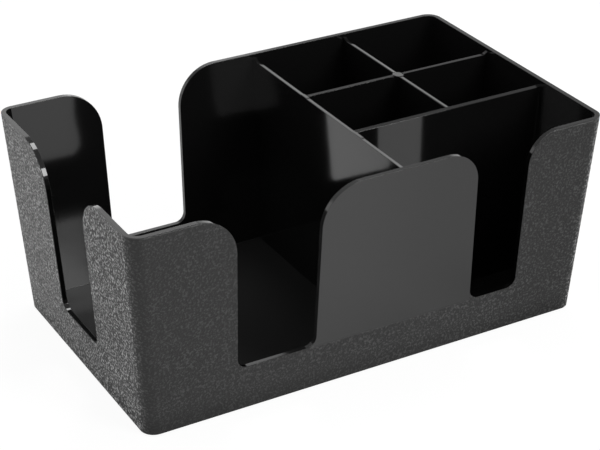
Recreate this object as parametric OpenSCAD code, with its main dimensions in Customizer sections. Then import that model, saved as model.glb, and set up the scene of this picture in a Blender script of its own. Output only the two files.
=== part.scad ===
// Six-compartment bar caddy: a moulded tub with leaning walls and four finger cut-outs, one full-depth
// partition, four shorter dividers and four rubber feet.
// Millimetres. The origin is on the surface that the caddy stands on, under the middle of the tub.
// +X runs along the caddy to the small bays, +Y to the back wall and +Z up.

/* [Tub] */
// Length over the rim
rim_l = 240; // [225:1:260]
// Width over the rim
rim_w = 146; // [138:1:160]
// Height from the underside of the tub to the rim
tub_h = 102; // [95:1:115]
// Lean of every wall outwards, in degrees
wall_draft = 3.6; // [1:0.1:4.5]
// Thickness of the walls
wall_t = 2.4; // [1.8:0.1:3]
// Thickness of the floor
floor_t = 2.4; // [2:0.1:3.5]
// Outside radius of the upright corners, at the underside
corner_r = 6.6; // [5:0.1:10]

/* [Finger cut-outs] */
// Width at the rim of the three cut-outs round the napkin bay, between their shoulders
napkin_cut_w = 42; // [30:0.2:44]
// Place of the front cut-out of the napkin bay along the caddy
front_cut_x = -49.8; // [-52:0.1:-46]
// Place of the back cut-out of the napkin bay along the caddy
back_cut_x = -48.4; // [-52:0.1:-46]
// Place of the left cut-out across the caddy
side_cut_y = -1; // [-6:0.5:6]
// Width at the rim of the cut-out into the front slot, between its shoulders
slot_cut_w = 28.2; // [20:0.1:30]
// Place of the cut-out into the front slot, along the caddy
slot_cut_x = 64.6; // [60:0.1:68]
// Height of the four sills above the underside of the tub
sill_h = 22; // [16:0.2:30]
// Draw of the sides of a cut-out, which get closer downwards, in degrees
cut_draft = 1; // [0:0.1:2]
// Radius of the shoulders where a napkin cut-out opens at the rim
napkin_flare_r = 20; // [10:0.5:22]
// Radius of the shoulders where the slot cut-out opens at the rim
slot_flare_r = 16; // [10:0.5:18]
// Radius of the lower corners of a cut-out
sill_r = 5; // [3:0.5:10]

/* [Partition and dividers] */
// Place of the full-depth partition along the caddy
partition_x = 14.1; // [11:0.1:17]
// Place of the divider between the two rows of small bays, across the caddy
middle_y = 19.9; // [15:0.1:24]
// Place of the divider behind the front slot, across the caddy
front_y = -24.4; // [-28:0.1:-18]
// Place of the dividers between the left and right small bays, along the caddy
cross_x = 65.8; // [60:0.1:72]
// Thickness of the partition and dividers at their top edge
divider_t = 2; // [1.6:0.1:2.4]
// Taper of each divider face, in degrees
divider_draft = 0.4; // [0:0.1:0.6]
// Drop from the rim to the top edge of the dividers
divider_drop = 2.8; // [2:0.1:8]
// Length of the ramp where a top edge climbs to a wall
ramp_run = 2.5; // [1.5:0.5:8]
// Height of that ramp
ramp_rise = 1.3; // [0.5:0.1:1.6]

/* [Ejector marks] */
// Diameter of the round post at the crossing of the dividers
post_d = 5.5; // [5:0.1:8]
// Length of the land on the partition at the middle divider
middle_land_l = 5; // [3:0.5:8]
// Length of the land on the partition at the front divider
front_land_l = 7; // [3:0.5:9]
// Height of the post and the lands above the top edges
land_rise = 0.3; // [0.1:0.1:0.6]

/* [Feet] */
// Diameter of a rubber foot
foot_d = 12; // [9:0.5:14]
// Height of the tub above the surface it stands on
foot_stand = 1; // [0.6:0.1:1.4]
// Depth of the recess that holds a foot
socket_depth = 0.8; // [0.5:0.1:1.2]
// Gap round a foot in its recess
socket_gap = 0.15; // [0.1:0.05:0.3]
// Chamfer round the lower edge of a foot
foot_chamfer = 0.5; // [0.2:0.1:0.6]
// Distance from the ends and sides of the underside to the middle of a foot
foot_inset = 16; // [13:0.5:30]
// Diameter of the shallow well round the moulding gate, in the middle of the underside
gate_well_d = 9; // [6:0.5:12]
// Depth of that well
gate_well_depth = 0.5; // [0.3:0.1:0.8]
// Diameter of the gate mark in the well
gate_mark_d = 2.4; // [1.5:0.1:3]
// Height of the gate mark
gate_mark_h = 0.3; // [0.1:0.1:0.4]

/* [Hidden] */

$fn = 64;
// Overrun of every cutting solid past the face that it cuts
overrun = 2;
under_z = foot_stand;
rim_z = under_z + tub_h;
floor_z = under_z + floor_t;
divider_z = rim_z - divider_drop;
ramp_z = divider_z + ramp_rise;
gloss_black = "#161617";
grained_black = "#29292b";
rubber_black = "#333332";

// Outside length and width of the tub at a height, and half the clear space inside
function outer_l(z) = rim_l - 2 * (rim_z - z) * tan(wall_draft);
function outer_w(z) = rim_w - 2 * (rim_z - z) * tan(wall_draft);
function inner_x(z) = outer_l(z) / 2 - wall_t;
function inner_y(z) = outer_w(z) / 2 - wall_t;
// Thickness of a divider at a height
function plate_t(z) = divider_t + 2 * (divider_z - z) * tan(divider_draft);

// The tub's outside shape between two heights, drawn in by an inset all round
module leaning_block(z0, z1, inset) {
    low = [outer_l(z0) - 2 * inset, outer_w(z0) - 2 * inset];
    high = [outer_l(z1) - 2 * inset, outer_w(z1) - 2 * inset];
    r = corner_r - inset;
    translate([0, 0, z0])
        linear_extrude(height = z1 - z0, scale = [high.x / low.x, high.y / low.y], slices = 1)
            offset(r = r)
                square([low.x - 2 * r, low.y - 2 * r], center = true);
}

// Outline of a finger cut-out, hung from the rim at the origin. Its drawn sides run from round lower corners
// to shoulders that flare out, and the arcs touch the sides.
module cutout_outline(w, depth, flare_r) {
    top_x = w / 2 + overrun * tan(cut_draft);
    corner_x = w / 2 - (sill_r + (depth - sill_r) * sin(cut_draft)) / cos(cut_draft);
    low_touch = [corner_x + sill_r * cos(cut_draft), sill_r * (1 - sin(cut_draft)) - depth];
    flare_x = w / 2 + flare_r * (1 - sin(cut_draft)) / cos(cut_draft);
    flare_h = flare_r * (1 - sin(cut_draft));
    polygon([
        [-top_x, overrun],
        [-low_touch.x, low_touch.y],
        [-corner_x, -depth],
        [corner_x, -depth],
        [low_touch.x, low_touch.y],
        [top_x, overrun]
    ]);
    for (side = [-1, 1])
        translate([side * corner_x, sill_r - depth])
            circle(sill_r);
    difference() {
        translate([-flare_x, -flare_h])
            square([2 * flare_x, flare_h + overrun]);
        for (side = [-1, 1])
            translate([side * flare_x, -flare_r])
                circle(flare_r);
    }
}

// Cutter for a finger cut-out at place x along a wall that faces -Y, whose rim is at the given distance
module wall_cutter(x, w, flare_r, rim_distance) {
    lean = (tub_h - sill_h) * tan(wall_draft);
    translate([x, lean + wall_t + overrun - rim_distance, rim_z])
        rotate([90, 0, 0])
            linear_extrude(height = lean + wall_t + 2 * overrun)
                cutout_outline(w, tub_h - sill_h, flare_r);
}

// Everything that stands at the four places of the feet
module at_foot(side_x, side_y) {
    translate([
        side_x * (outer_l(under_z) / 2 - foot_inset),
        side_y * (outer_w(under_z) / 2 - foot_inset),
        0
    ])
        children();
}

module gate_well() {
    difference() {
        translate([0, 0, under_z - overrun])
            cylinder(d = gate_well_d, h = overrun + gate_well_depth);
        translate([0, 0, under_z + gate_well_depth - gate_mark_h])
            cylinder(d = gate_mark_d, h = overrun);
    }
}

module tub() {
    color(grained_black)
        difference() {
            leaning_block(under_z, rim_z, 0);
            leaning_block(floor_z, rim_z + overrun, wall_t);
            wall_cutter(front_cut_x, napkin_cut_w, napkin_flare_r, rim_w / 2);
            wall_cutter(slot_cut_x, slot_cut_w, slot_flare_r, rim_w / 2);
            rotate([0, 0, 180])
                wall_cutter(-back_cut_x, napkin_cut_w, napkin_flare_r, rim_w / 2);
            rotate([0, 0, -90])
                wall_cutter(-side_cut_y, napkin_cut_w, napkin_flare_r, rim_l / 2);
            for (side_x = [-1, 1], side_y = [-1, 1])
                at_foot(side_x, side_y)
                    translate([0, 0, under_z - overrun])
                        cylinder(d = foot_d + 2 * socket_gap, h = overrun + socket_depth);
            gate_well();
        }
}

// An upright plate along X, tapered in thickness, from the floor to the top of its ramps.
// The outline is its side view as points of place and height.
module tapered_plate(outline) {
    reach = max([for (p = outline) abs(p.x)]) + overrun;
    low_z = floor_z - overrun;
    high_z = ramp_z + overrun;
    intersection() {
        translate([0, plate_t(low_z) / 2, 0])
            rotate([90, 0, 0])
                linear_extrude(height = plate_t(low_z))
                    polygon(outline);
        translate([-reach, 0, 0])
            rotate([90, 0, 90])
                linear_extrude(height = 2 * reach)
                    polygon([
                        [-plate_t(low_z) / 2, low_z],
                        [plate_t(low_z) / 2, low_z],
                        [plate_t(high_z) / 2, high_z],
                        [-plate_t(high_z) / 2, high_z]
                    ]);
    }
}

// A low land that an ejector left on a top edge, centred at a place along it and sunk into the edge
module ejector_land(place, length) {
    translate([place - length / 2, -divider_t / 2, divider_z - overrun])
        cube([length, divider_t, overrun + land_rise]);
}

// Partition across the whole tub, with a ramp at both ends
module long_partition() {
    color(gloss_black)
        translate([partition_x, 0, 0])
            rotate([0, 0, 90]) {
                tapered_plate([
                    [-inner_y(floor_z), floor_z],
                    [inner_y(floor_z), floor_z],
                    [inner_y(ramp_z), ramp_z],
                    [inner_y(divider_z) - ramp_run, divider_z],
                    [ramp_run - inner_y(divider_z), divider_z],
                    [-inner_y(ramp_z), ramp_z]
                ]);
                ejector_land(middle_y, middle_land_l);
                ejector_land(front_y - (divider_t + front_land_l) / 2, front_land_l);
            }
}

// Outline of a plate that butts on another plate at its near end and climbs a ramp to a wall at its far end
function butt_to_wall(near, far_low, far_high, far_ramp) = [
    [near + plate_t(floor_z) / 2, floor_z],
    [far_low, floor_z],
    [far_ramp, ramp_z],
    [far_high - ramp_run, divider_z],
    [near + plate_t(divider_z) / 2, divider_z]
];

// Divider from the partition to the right wall
module side_divider(y) {
    translate([0, y, 0])
        tapered_plate(
            butt_to_wall(partition_x, inner_x(floor_z), inner_x(divider_z), inner_x(ramp_z))
        );
}

// Round post that runs the full height where the dividers cross. As a cutter it overruns at both ends.
module crossing_post(extra = 0) {
    translate([cross_x, middle_y, floor_z - extra])
        cylinder(d = post_d, h = divider_z + land_rise - floor_z + 2 * extra);
}

module middle_divider() {
    color(gloss_black) {
        side_divider(middle_y);
        crossing_post();
    }
}

module front_divider() {
    color(gloss_black)
        side_divider(front_y);
}

// Divider from the crossing post to the back wall
module back_cross_divider() {
    color(gloss_black)
        difference() {
            translate([cross_x, 0, 0])
                rotate([0, 0, 90])
                    tapered_plate(
                        butt_to_wall(middle_y, inner_y(floor_z), inner_y(divider_z), inner_y(ramp_z))
                    );
            crossing_post(overrun);
        }
}

// Divider from the front divider to the crossing post
module front_cross_divider() {
    color(gloss_black)
        difference() {
            translate([cross_x, 0, 0])
                rotate([0, 0, 90])
                    tapered_plate([
                        [front_y + plate_t(floor_z) / 2, floor_z],
                        [middle_y, floor_z],
                        [middle_y, divider_z],
                        [front_y + plate_t(divider_z) / 2, divider_z]
                    ]);
            crossing_post(overrun);
        }
}

// Rubber foot with a chamfered lower edge, seated against the top of its recess
module foot(side_x, side_y) {
    color(rubber_black)
        at_foot(side_x, side_y)
            rotate_extrude()
                polygon([
                    [0, 0],
                    [foot_d / 2 - foot_chamfer, 0],
                    [foot_d / 2, foot_chamfer],
                    [foot_d / 2, foot_stand + socket_depth],
                    [0, foot_stand + socket_depth]
                ]);
}

module foot_front_left() foot(-1, -1);
module foot_front_right() foot(1, -1);
module foot_back_left() foot(-1, 1);
module foot_back_right() foot(1, 1);

tub();
long_partition();
middle_divider();
front_divider();
back_cross_divider();
front_cross_divider();
foot_front_left();
foot_front_right();
foot_back_left();
foot_back_right();
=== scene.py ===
# %% [markdown]
# # A moulded bar caddy
# The object is a black plastic caddy for napkins, straws and picks. It came out of one mould: a tub
# whose walls lean outwards, with cut-outs for fingers, a long partition and four short dividers. The
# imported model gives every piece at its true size. This lesson gives the pieces their moulded edges,
# their grained and polished finishes, and the light of a white studio.

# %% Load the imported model
import math

import bmesh
import bpy
from mathutils import Matrix, Vector


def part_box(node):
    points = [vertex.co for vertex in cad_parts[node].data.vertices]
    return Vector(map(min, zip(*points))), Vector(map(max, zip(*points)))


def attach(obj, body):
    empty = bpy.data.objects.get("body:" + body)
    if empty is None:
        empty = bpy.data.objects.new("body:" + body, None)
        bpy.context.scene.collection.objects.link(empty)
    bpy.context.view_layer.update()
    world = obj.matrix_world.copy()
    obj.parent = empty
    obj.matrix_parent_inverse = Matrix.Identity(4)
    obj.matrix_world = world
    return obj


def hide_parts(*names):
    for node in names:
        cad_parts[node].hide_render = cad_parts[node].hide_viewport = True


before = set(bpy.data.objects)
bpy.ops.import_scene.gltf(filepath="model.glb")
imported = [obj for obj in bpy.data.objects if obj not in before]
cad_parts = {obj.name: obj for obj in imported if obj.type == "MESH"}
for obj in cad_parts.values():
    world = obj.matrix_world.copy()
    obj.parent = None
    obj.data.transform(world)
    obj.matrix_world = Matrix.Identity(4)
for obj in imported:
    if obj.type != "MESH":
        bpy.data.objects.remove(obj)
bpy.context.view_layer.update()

MM = 0.001
print("nodes:", ", ".join(sorted(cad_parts)))

# %% [markdown]
# ## Sizes that the finishes need
# The grain is only on the outside, so the shader has to know where the outside is. The tub is a box
# with round corners that leans outwards, and a few numbers say where its skin lies. They are read
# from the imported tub, so the finish follows the part when the part changes.

# %% Read the tub's sizes
WALL_T = 2.4 * MM
FLOOR_T = 2.4 * MM
CORNER_R = 7 * MM
TUB_LOW, TUB_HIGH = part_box("tub")
UNDER_Z = TUB_LOW.z
FLOOR_Z = UNDER_Z + FLOOR_T
SILL_Z = UNDER_Z + 22 * MM
RIM_Z = TUB_HIGH.z


def half_length_below(node, height):
    """Half the length of a node along X, among its points no higher than the given height."""
    return max(v.co.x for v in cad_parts[node].data.vertices if v.co.z <= height)


BASE_X = half_length_below("tub", UNDER_Z + 0.01 * MM)
LEAN = (TUB_HIGH.x - BASE_X) / (RIM_Z - UNDER_Z)
print(f"the walls lean {math.degrees(math.atan(LEAN)):.2f} degrees")

# %% [markdown]
# ## Writing shader maths as sums
# A finish is a sum of masks and noises. In the node editor that is a long row of Math nodes. The
# class below wraps one socket, so that a mask can be written as an expression in Python, and each
# operator adds its own node.

# %% Wrap a socket


class Sock:
    """A socket in one node tree, with the operators that the finishes use."""

    def __init__(self, tree, value=None):
        self.tree = tree
        self.value = value

    def node(self, kind, settings=None, **links):
        """Adds a node of a type, its settings first and then the values or links of its sockets."""
        made = self.tree.nodes.new(kind)
        for key, setting in (settings or {}).items():
            setattr(made, key, setting)
        for key, value in links.items():
            self.put(made.inputs[key.replace("_", " ")], value)
        return made

    def put(self, socket, value):
        """Links a wrapped socket to an input, or sets the input to a plain value."""
        if isinstance(value, Sock):
            self.tree.links.new(value.value, socket)
        else:
            socket.default_value = value

    def put_all(self, sockets, values):
        """Does that for several inputs in a row."""
        for socket, value in zip(sockets, values):
            self.put(socket, value)

    def math(self, operation, *values):
        """The result of a Math node."""
        made = self.node("ShaderNodeMath", {"operation": operation})
        self.put_all(made.inputs, values)
        return Sock(self.tree, made.outputs[0])

    def __add__(self, other):
        return self.math("ADD", self, other)

    def __radd__(self, other):
        return self.math("ADD", other, self)

    def __sub__(self, other):
        return self.math("SUBTRACT", self, other)

    def __rsub__(self, other):
        return self.math("SUBTRACT", other, self)

    def __mul__(self, other):
        return self.math("MULTIPLY", self, other)

    def __rmul__(self, other):
        return self.math("MULTIPLY", other, self)

    def __abs__(self):
        return self.math("ABSOLUTE", self)

    def at_least(self, low):
        return self.math("MAXIMUM", self, low)

    def root(self):
        return self.math("SQRT", self)

    def above(self, low, high):
        """0 below low, 1 above high, and a smooth step between."""
        made = self.node("ShaderNodeMapRange", {"interpolation_type": "SMOOTHSTEP"})
        self.put_all(made.inputs, (self, low, high, 0.0, 1.0))
        return Sock(self.tree, made.outputs[0])


def blend(low, high, mask):
    """A number that goes from low to high as the mask goes from 0 to 1."""
    return low + (high - low) * mask


def coordinates(tree, kind):
    """The coordinates of one kind, such as Object, that a tree's texture is laid out on."""
    return Sock(tree, Sock(tree).node("ShaderNodeTexCoord").outputs[kind])


def axes_of(vector):
    """The wrapped X, Y and Z of a wrapped vector."""
    split = vector.node("ShaderNodeSeparateXYZ", Vector=vector)
    return [Sock(vector.tree, out) for out in split.outputs]


# %% [markdown]
# ## The table
# The caddy stands on plain white. A table that is lit until it is white would need lamps that wash
# out the plastic. So this one is lit a little less than white, and what the camera and the gloss see
# of it is lifted to white by Light Path. The shadow under the caddy stays.

# %% Build the table
TABLE_HALF = 3.0
TABLE_WHITE = (0.93, 0.93, 0.93, 1)
TABLE_ROUGH = 0.9
TABLE_LIFT = 0.88
TABLE_GLOW = 1.06
GLOSS_SHARE = 0.5


def seen_directly(sock):
    """1 for the camera's own rays, and less for those that gloss or glass sends on."""
    path = sock.node("ShaderNodeLightPath")
    camera_ray, glossy_ray, glass_ray = (
        Sock(sock.tree, path.outputs[f"Is {kind} Ray"]) for kind in ("Camera", "Glossy", "Transmission")
    )
    return camera_ray.at_least(glossy_ray.at_least(glass_ray) * GLOSS_SHARE)


def table_paint():
    """White paint that is lifted to pure white where it is seen directly."""
    paint = bpy.data.materials.new("white table")
    paint.use_nodes = True
    tree = paint.node_tree
    shader = tree.nodes["Principled BSDF"]
    shader.inputs["Base Color"].default_value = TABLE_WHITE
    shader.inputs["Roughness"].default_value = TABLE_ROUGH
    shader.inputs["Specular IOR Level"].default_value = 0.0
    lit = Sock(tree, shader.outputs[0])
    glow = Sock(tree, lit.node("ShaderNodeEmission", Strength=TABLE_GLOW).outputs[0])
    mixed = lit.node("ShaderNodeMixShader")
    lit.put_all(mixed.inputs, (seen_directly(lit) * TABLE_LIFT, lit, glow))
    lit.put(tree.nodes["Material Output"].inputs["Surface"], Sock(tree, mixed.outputs[0]))
    return paint


def white_table():
    """A wide plain table, touched by the feet."""
    bm = bmesh.new()
    bmesh.ops.create_grid(bm, x_segments=1, y_segments=1, size=TABLE_HALF)
    mesh = bpy.data.meshes.new("white_table")
    bm.to_mesh(mesh)
    bm.free()
    mesh.materials.append(table_paint())
    table = bpy.data.objects.new("white_table", mesh)
    bpy.context.collection.objects.link(table)
    return table


white_table()
print(f"table: {2 * TABLE_HALF:.0f} m wide")

# %% [markdown]
# ## The studio
# Black plastic shows little colour of its own, so the picture is nearly all reflections. The
# photograph fits white walls, a greyer ceiling and a dim room behind the camera. An image of a studio
# could stand for them. Two smooth steps in the world's strength do the same with nothing to load.

# %% Build the world
WALL_LIGHT = 1.0
ROOM_LIGHT = 0.3
ROOM_WAY = (-0.2, -0.98)
ROOM_EDGE = (0.1, 0.7)
CEILING_LIGHT = 0.45
CEILING_EDGE = (0.30, 0.42)


def studio_world():
    """White walls, a dark room behind the camera, and a grey ceiling."""
    world = bpy.data.worlds.new("studio")
    world.use_nodes = True
    sky = world.node_tree.nodes["Background"]
    sky.inputs["Color"].default_value = (1, 1, 1, 1)
    ray = coordinates(world.node_tree, "Generated")
    x, y, z = axes_of(ray)
    room = (x * ROOM_WAY[0] + y * ROOM_WAY[1]).above(*ROOM_EDGE)
    walls = blend(WALL_LIGHT, ROOM_LIGHT, room)
    ceiling = z.above(*CEILING_EDGE)
    ray.put(sky.inputs["Strength"], walls + (CEILING_LIGHT - walls) * ceiling)
    bpy.context.scene.world = world


bpy.context.scene.view_settings.view_transform = "Standard"
studio_world()
print("world: white walls, a dim room and a grey ceiling")

# %% [markdown]
# ## The lamps
# Two soft lamps, one high up at the back and one at the front on the right, make the paired bright
# spots on the rounded shoulders of the cut-outs. The high one is narrow and turned, so that the long
# plates' tops miss it. Two weak ones at the back stand for a window and its sill, which the rims
# mirror. A lamp is given here by where it stands, as seen from the caddy, and by how bright its face
# is. Blender asks for its power instead, which is four times the brightness times the area.

# %% Hang the lamps
LAMP_AIM = Vector((0, 0, 60 * MM))
WATTS_PER_BRIGHTNESS = 4
LAMPS = (  # name, degrees right of the front, degrees up, distance, width, height, brightness, twist
    ("high softbox", 141, 70, 1.08, 0.40, 0.24, 5.6, -52.7),
    ("front softbox", 23, 28.6, 1.1, 0.42, 0.385, 7.3, 0.0),
    ("back window", 169, 18, 1.3, 0.70, 0.80, 0.6, 0.0),
    ("back strip", 148, 9, 1.3, 0.34, 0.38, 0.2, 0.0),
)


def direction(right_of_front, up):
    """The way from the caddy at an angle to the right of its front and an angle above the table."""
    return Vector((
        math.sin(right_of_front) * math.cos(up),
        -math.cos(right_of_front) * math.cos(up),
        math.sin(up),
    ))


def soft_lamp(name, right_of_front, up, distance, wide, tall, brightness, twist):
    """A soft lamp with a rectangular face, turned to the caddy."""
    away = direction(math.radians(right_of_front), math.radians(up))
    light = bpy.data.lights.new(name, "AREA")
    light.shape = "RECTANGLE"
    light.size = wide
    light.size_y = tall
    light.energy = brightness * wide * tall * WATTS_PER_BRIGHTNESS
    lamp = bpy.data.objects.new(name, light)
    lamp.location = LAMP_AIM + away * distance
    turn = away.to_track_quat("Z", "Y").to_matrix() @ Matrix.Rotation(math.radians(twist), 3, "Z")
    lamp.rotation_euler = turn.to_euler()
    bpy.context.collection.objects.link(lamp)
    return lamp


for lamp_row in LAMPS:
    print(lamp_row[0], "with", round(soft_lamp(*lamp_row).data.energy, 2), "W")

# %% [markdown]
# ## The camera
# The lines of the rim, the base and the dividers in the photograph give the camera's place. It looks
# down at the front left corner with a long lens, so that the far edges are hardly shorter than the
# near ones.

# %% Place the camera
AZIMUTH = math.radians(-29.286)
ELEVATION = math.radians(28.411)
ROLL = math.radians(-0.176)
DISTANCE = 910.6 * MM
AIM_RIGHT = -0.17 * MM
AIM_UP = 38.03 * MM
LENS = 112.43
SENSOR = 36


def photo_camera():
    """The camera of the photograph, turned about the middle of the underside of the tub."""
    back = direction(AZIMUTH, ELEVATION)
    right = Vector((0, 0, 1)).cross(back).normalized()
    up = back.cross(right)
    level = Matrix((right, up, back)).transposed().to_4x4()
    turn = level @ Matrix.Rotation(ROLL, 4, "Z")
    place = Vector((0, 0, UNDER_Z)) + back * DISTANCE
    place += turn.col[0].to_3d() * AIM_RIGHT + turn.col[1].to_3d() * AIM_UP
    data = bpy.data.cameras.new("photo camera")
    data.lens = LENS
    data.sensor_width = SENSOR
    camera = bpy.data.objects.new("photo camera", data)
    camera.matrix_world = Matrix.Translation(place) @ turn
    bpy.context.collection.objects.link(camera)
    bpy.context.scene.camera = camera
    return camera


print("camera at", [round(c / MM) for c in photo_camera().location], "mm")

# %% [markdown]
# ## Helpers for the plastics
# Every finish below starts from the same few steps: a new material, its place on the object, some
# noise, a mix of two greys and a bump. The plastic bends light as polystyrene does, which sets how
# strongly it mirrors the room.

# %% Make the helpers
PLASTIC_IOR = 1.59


def new_material(name):
    """An empty material, its shader, and its Object coordinates."""
    material = bpy.data.materials.new(name)
    material.use_nodes = True
    shader = material.node_tree.nodes["Principled BSDF"]
    shader.inputs["IOR"].default_value = PLASTIC_IOR
    return material, shader, coordinates(material.node_tree, "Object")


def noise(place, size, detail=2.0, rough=0.5):
    """Noise whose features are about the given size across, from 0 to 1."""
    values = {"Scale": 1 / size, "Detail": detail, "Roughness": rough}
    made = place.node("ShaderNodeTexNoise", Vector=place, **values)
    return Sock(place.tree, made.outputs[0])


def grey_mix(mask, dark, light):
    """A colour between two greys. A Mix node's inputs 6 and 7 are its colours, and output 2 the mix."""
    made = mask.node("ShaderNodeMix", {"data_type": "RGBA"})
    colours = ((dark, dark, dark, 1), (light, light, light, 1))
    mask.put_all((made.inputs[0], made.inputs[6], made.inputs[7]), (mask, *colours))
    return Sock(mask.tree, made.outputs[2])


def bump(height, distance):
    """A normal from a height map, whose full height is the given distance."""
    made = height.node("ShaderNodeBump", Height=height, Distance=distance, Strength=1.0)
    return Sock(height.tree, made.outputs[0])


print("plastic with an index of refraction of", PLASTIC_IOR)

# %% [markdown]
# ## Where the tub's finishes lie
# One steel mould makes three finishes. Its outside is spark-eroded, which leaves a fine grain. The
# panel between the two front cut-outs is polished down to the height of the sills. The inside and the
# rims are polished too, and the cut faces are bare. A painter would draw these areas on an unwrapped
# surface. Here each mask is worked out from the place alone: how deep it lies below the leaning skin
# tells outside from inside, so no unwrapping is needed and the masks follow the tub's sizes.

# %% Make the masks
SKIN_EDGE = (0.16 * MM, 0.32 * MM)
INSIDE_EDGE = (WALL_T - 0.4 * MM, WALL_T - 0.1 * MM)
FLOOR_EDGE = (FLOOR_Z + 0.1 * MM, FLOOR_Z + 0.6 * MM)
GRAIN_TOP = (RIM_Z - 0.9 * MM, RIM_Z - 0.5 * MM)
RIM_EDGE = (RIM_Z - 0.5 * MM, RIM_Z - 0.1 * MM)
FRONT_EDGE = (0.8 * TUB_HIGH.y, 0.9 * TUB_HIGH.y)
PANEL_X = (-29.8 * MM, 51.5 * MM)
PANEL_LEFT = (PANEL_X[0] - 4 * MM, PANEL_X[0])
PANEL_RIGHT = (PANEL_X[1], PANEL_X[1] + 1 * MM)
PANEL_FOOT = (SILL_Z - 1.2 * MM, SILL_Z + 0.4 * MM)


def skin_depth(x, y, z):
    """How deep a place lies below a leaning box with round corners."""
    drop = (RIM_Z - z) * LEAN
    reach_x = (abs(x) + drop - (TUB_HIGH.x - CORNER_R)).at_least(0.0)
    reach_y = (abs(y) + drop - (TUB_HIGH.y - CORNER_R)).at_least(0.0)
    return CORNER_R - (reach_x * reach_x + reach_y * reach_y).root()


def panel_mask(x, y, z):
    """1 on the polished panel of the front wall, with a soft lower edge."""
    across = x.above(*PANEL_LEFT) * (1.0 - x.above(*PANEL_RIGHT))
    return (0.0 - y).above(*FRONT_EDGE) * across * z.above(*PANEL_FOOT)


def tub_masks(x, y, z):
    """Masks of the outside, the panel and the grain on it, the inside, its floor, and the rim."""
    depth = skin_depth(x, y, z)
    outside = 1.0 - depth.above(*SKIN_EDGE)
    panel = panel_mask(x, y, z)
    grain = outside * (1.0 - panel) * (1.0 - z.above(*GRAIN_TOP))
    inside = depth.above(*INSIDE_EDGE)
    floor = (1.0 - z.above(*FLOOR_EDGE)) * inside
    return outside, panel, grain, inside, floor, z.above(*RIM_EDGE)


print(f"polished panel: {(PANEL_X[1] - PANEL_X[0]) / MM:.1f} mm wide, from {SILL_Z / MM:.0f} mm up")

# %% [markdown]
# ## The grain
# Spark erosion leaves a skin of tiny pits, with smooth specks between them that catch the light. A
# noise of about a millimetre gives the pits, and the highest parts of it are the specks. In the
# colour the specks are painted lighter as painted glints, and the pits darker as painted shade; the
# same specks thicken the coat. A second, wide noise makes them stronger in some patches than in
# others. A picture of the grain would repeat itself, and blur in a close view, and a noise does
# neither.

# %% Make the grain
GRAIN_SIZE = 1.05 * MM
SPECK_EDGE = (0.46, 0.66)
PATCH_SIZE = 14 * MM
PATCH_STRENGTH = (0.6, 1.4)
MEAN_SPECK = 0.45
GRAIN_CONTRAST = (1.12, 0.8)
CONTRAST_Y = (-50 * MM, 40 * MM)


def grain_noise(place, y):
    """The grain's height, and how much each place shines, with less contrast at the back."""
    pits = noise(place, GRAIN_SIZE, 3.0, 0.6)
    specks = pits.above(*SPECK_EDGE) * blend(*PATCH_STRENGTH, noise(place, PATCH_SIZE))
    contrast = blend(*GRAIN_CONTRAST, y.above(*CONTRAST_Y))
    return pits, blend(MEAN_SPECK, specks, contrast)


print("grain:", round(GRAIN_SIZE / MM, 2), "mm")

# %% [markdown]
# ## The tub's finish
# All the tub's finishes are one plastic, so they are one material, and the masks choose between them.
# The specks shine like a coat where they are seen at a slant, so the coat follows Layer Weight and
# the noise: the side wall glitters and the front stays calm. The grain is rougher at the far right
# and along the foot, and its colour is painted darker there as painted shade. The panel's grey
# fades to the right as painted shade, the floor's grey is painted lighter towards the back as a
# painted pool of light, the floor is rubbed dull where the napkins lie, the gloss mirrors the studio
# a little unevenly, and the cut faces are the purest black.

# %% Make the tub's plastic
DEEP_GREY = 0.001
LIGHTEST_GREY = 0.1
GRAIN_GREY = 0.030
GRAIN_DARK = 0.0045
EDGE_GREY = 0.001
GLOSS_GREY = 0.0055
# The panel's two greys paint shade that fades towards the right.
PANEL_SHADE_GREYS = (0.018, 0.001)
# The floor's two greys paint a pool of light towards the back wall.
FLOOR_LIGHT_GREYS = (0.002, 0.021)
FLOOR_LIGHT_Y = (-60 * MM, 70 * MM)
FOOT_BAND = (UNDER_Z + 1 * MM, UNDER_Z + 12 * MM)
# Painted shade: the grain's colour is darker at the far right and along the foot.
SHADE_X = (40 * MM, 110 * MM)
RIGHT_SHADE = 0.6
FOOT_SHADE = 0.7
GRAIN_ROUGH = (0.60, 0.77)
ROUGHER_X = (20 * MM, 110 * MM)
FOOT_ROUGH = 0.15
GLOSS_ROUGH = 0.07
RIM_ROUGH = 0.06
USED_ROUGH = 0.12
USED_X = (-90 * MM, -70 * MM)
USED_SHARE = (0.3, 1.0)
SLANT = (0.16, 0.71)
GRAIN_SHINE = 2.3
COAT_ROUGH = 0.35
GRAIN_DEPTH = 0.6 * MM
RIPPLE_SIZE = 30 * MM
RIPPLE_SHARE = 0.2


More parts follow.
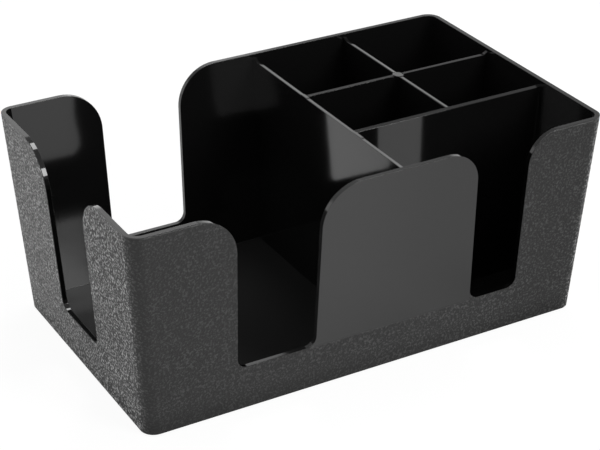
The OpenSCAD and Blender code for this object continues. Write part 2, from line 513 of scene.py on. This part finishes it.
def tub_plastic():
    """Grain, polished panel, gloss, a floor with a painted pool of light and bare cut faces in one
    material.
    """
    material, shader, place = new_material("tub plastic")
    x, y, z = axes_of(place)
    outside, panel, grain, inside, floor, rim = tub_masks(x, y, z)
    pits, speckle = grain_noise(place, y)
    along_foot = 1.0 - z.above(*FOOT_BAND)
    # Painted shade: darker towards the far right and a painted contact shadow along the foot.
    shade_right_and_foot = (1.0 - RIGHT_SHADE * x.above(*SHADE_X)) * (1.0 - FOOT_SHADE * along_foot)

    # Grain colour: lighter specks are painted glints and darker pits are painted shade, also darkened
    # by the painted shade at the far right and the foot.
    grain_glints_and_shade = grain * (speckle * shade_right_and_foot * GRAIN_GREY - GRAIN_DARK).at_least(0.0)
    bare = blend(EDGE_GREY, GLOSS_GREY, inside) * (1.0 - outside)
    # Painted shade: the panel's grey fades from lighter at the left to darker at the right.
    polish = panel * blend(*PANEL_SHADE_GREYS, x.above(*PANEL_X))
    # Painted light: the floor's grey is dark at the front and lighter towards the back.
    floor_light_patch = floor * blend(*FLOOR_LIGHT_GREYS, y.above(*FLOOR_LIGHT_Y))
    lightness = (grain_glints_and_shade + bare + polish + floor_light_patch) * (1 / LIGHTEST_GREY)
    place.put(shader.inputs["Base Color"], grey_mix(lightness, DEEP_GREY, LIGHTEST_GREY))

    coarse = blend(*GRAIN_ROUGH, x.above(*ROUGHER_X)) + FOOT_ROUGH * along_foot
    used = floor * blend(*USED_SHARE, x.above(*USED_X))
    rough = blend(GLOSS_ROUGH, coarse, grain) + RIM_ROUGH * rim + USED_ROUGH * used
    place.put(shader.inputs["Roughness"], rough)

    slant = Sock(place.tree, place.node("ShaderNodeLayerWeight", Blend=0.5).outputs["Facing"])
    place.put(shader.inputs["Coat Weight"], grain * speckle * slant.above(*SLANT) * GRAIN_SHINE)
    shader.inputs["Coat Roughness"].default_value = COAT_ROUGH

    height = grain * pits + (1.0 - grain) * noise(place, RIPPLE_SIZE, 1.0) * RIPPLE_SHARE
    place.put(shader.inputs["Normal"], bump(height, GRAIN_DEPTH))
    return material


TUB_PLASTIC = tub_plastic()
print("tub plastic:", len(TUB_PLASTIC.node_tree.nodes), "nodes")

# %% [markdown]
# ## The dividers' and the feet's finishes
# The dividers come out of the polished core of the mould, so they are gloss all over, with a faint
# ripple and a slow change of gloss from place to place. The feet are plain rubber, with a dusty
# surface that hardly shines.

# %% Make the dividers' plastic and the rubber
CLOUD_SIZE = 25 * MM
DIVIDER_ROUGH = (0.05, 0.10)
RIPPLE_DEPTH = 0.04 * MM
DUST_SIZE = 1.2 * MM
RUBBER_GREY = (0.02, 0.05)
RUBBER_ROUGH = (0.65, 0.85)
RUBBER_DEPTH = 0.05 * MM


def divider_plastic():
    """Black gloss with a faint ripple."""
    material, shader, place = new_material("divider plastic")
    shader.inputs["Base Color"].default_value = (GLOSS_GREY, GLOSS_GREY, GLOSS_GREY, 1)
    cloud = noise(place, CLOUD_SIZE, 3.0)
    place.put(shader.inputs["Roughness"], blend(*DIVIDER_ROUGH, cloud))
    place.put(shader.inputs["Normal"], bump(noise(place, RIPPLE_SIZE, 1.0), RIPPLE_DEPTH))
    return material


def foot_rubber():
    """Dark rubber with a dusty surface."""
    material, shader, place = new_material("foot rubber")
    cloud = noise(place, DUST_SIZE, 3.0)
    place.put(shader.inputs["Base Color"], grey_mix(cloud, *RUBBER_GREY))
    place.put(shader.inputs["Roughness"], blend(*RUBBER_ROUGH, cloud))
    place.put(shader.inputs["Normal"], bump(cloud, RUBBER_DEPTH))
    return material


DIVIDER_PLASTIC = divider_plastic()
FOOT_RUBBER = foot_rubber()
for name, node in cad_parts.items():
    if name.startswith("foot_"):
        node.data.materials.clear()
        node.data.materials.append(FOOT_RUBBER)
print("finishes:", ", ".join(m.name for m in (TUB_PLASTIC, DIVIDER_PLASTIC, FOOT_RUBBER)))

# %% [markdown]
# ## Moulded edges
# A CAD solid has edges without width, which never catch the light. A mould's edges are a little
# round, and those thin bright lines show the shape of black plastic better than anything else. A
# Bevel modifier could round them too. A bevel in the mesh can choose its edges one by one. The packed
# mesh is loose triangles, so a copy is welded, its flat faces are joined, and then its edges are
# bevelled.

# %% Round the edges of the tub
WELD = 0.004 * MM
FLAT = math.radians(0.6)
SHARP = math.radians(35)
TUB_EDGE = 0.7 * MM
DIVIDER_Z = RIM_Z - 3.2 * MM


def every_edge(edge):
    """Wants each sharp edge rounded."""
    return True


def nowhere(place):
    """Lowers no corner."""
    return 0.0


def moulded_copy(node, name, edge_r, material, wanted=every_edge, sink=nowhere):
    """A welded copy of a CAD node with its wanted sharp edges rounded. It takes the node's place.

    Before that, each corner along its top is lowered by what sink gives for the corner's place.
    """
    bm = bmesh.new()
    bm.from_mesh(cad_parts[node].data)
    bmesh.ops.remove_doubles(bm, verts=bm.verts, dist=WELD)
    bmesh.ops.dissolve_limit(bm, angle_limit=FLAT, verts=bm.verts, edges=bm.edges)
    for v in bm.verts:
        if v.co.z > DIVIDER_Z:
            v.co.z -= sink(v.co)
    sharp = [e for e in bm.edges if e.is_manifold and e.calc_face_angle() > SHARP and wanted(e)]
    bmesh.ops.bevel(
        bm,
        geom=sharp,
        offset=edge_r,
        offset_type="OFFSET",
        segments=4,
        profile=0.5,
        affect="EDGES",
        clamp_overlap=True,
        material=-1,
    )
    for face in bm.faces:
        face.smooth = True
    mesh = bpy.data.meshes.new(name)
    bm.to_mesh(mesh)
    bm.free()
    mesh.materials.append(material)
    piece = bpy.data.objects.new(name, mesh)
    bpy.context.collection.objects.link(piece)
    even = piece.modifiers.new("flat faces stay flat", "WEIGHTED_NORMAL")
    even.keep_sharp = True
    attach(piece, "root")
    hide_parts(node)
    print(f"{name}: {len(sharp)} edges rounded, {len(mesh.polygons)} faces")
    return piece


moulded_copy("tub", "moulded_tub", TUB_EDGE, TUB_PLASTIC)

# %% [markdown]
# ## The dividers' tops
# A moulded plate's top is seldom quite level, because its two sides leave the mould with their own
# draft. A top that falls by a few tenths of a millimetre mirrors the wall in place of the ceiling.
# That is why the plates along the caddy's depth and the round pad at the crossing are brighter than
# the others. A lighter colour would look the same from this side only, and a real slope is right from
# every side. The ramps at the ends of the front divider are taken down, because no bright spot shows
# there.

# %% Round and tip the tops of the dividers
TOP_DEPTH = 0.4 * MM
DIVIDER_EDGE = 0.5 * MM
FRONT_EDGE_SHARE = 0.3
PAD_R = 3 * MM
RAISED_Z = RIM_Z - 2.6 * MM  # only pads and ramps stand higher
PAD_TIP = 0.08
RAMP_SHARE = 0.85


def on_top(edge):
    """True for an edge along the top of a divider."""
    return min(v.co.z for v in edge.verts) > DIVIDER_Z - TOP_DEPTH


def centre(node):
    """The middle of a node's box."""
    low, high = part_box(node)
    return (low + high) / 2


def to_the_right(node, drop):
    """Lowers the right-hand edge of a plate's top."""
    return lambda place: drop if place.x > centre(node).x else 0.0


def to_the_front(node, drop):
    """Lowers the front edge of a plate's top, and takes most of the ramps at its ends away."""

    def sink(place):
        ramp = max(place.z - RAISED_Z, 0.0)
        return (drop if place.y < centre(node).y else 0.0) + RAMP_SHARE * ramp

    return sink


CROSSING = Vector((centre("back_cross_divider").x, centre("middle_divider").y, 0))


def pad_tips_over(place):
    """Lowers the right-hand side of the round pad at the crossing by half a millimetre."""
    from_middle = Vector((place.x, place.y, 0)) - CROSSING
    on_pad = from_middle.length < PAD_R and place.z > RAISED_Z
    return (from_middle.x + PAD_R) * PAD_TIP if on_pad else 0.0


for node, edge_r, sink in (
    ("long_partition", DIVIDER_EDGE, to_the_right("long_partition", 0.26 * MM)),
    ("back_cross_divider", DIVIDER_EDGE, to_the_right("back_cross_divider", 0.18 * MM)),
    ("front_cross_divider", DIVIDER_EDGE, to_the_right("front_cross_divider", 0.18 * MM)),
    ("middle_divider", DIVIDER_EDGE, pad_tips_over),
    ("front_divider", FRONT_EDGE_SHARE * DIVIDER_EDGE, to_the_front("front_divider", 0.4 * MM)),
):
    moulded_copy(node, "moulded_" + node, edge_r, DIVIDER_PLASTIC, on_top, sink)
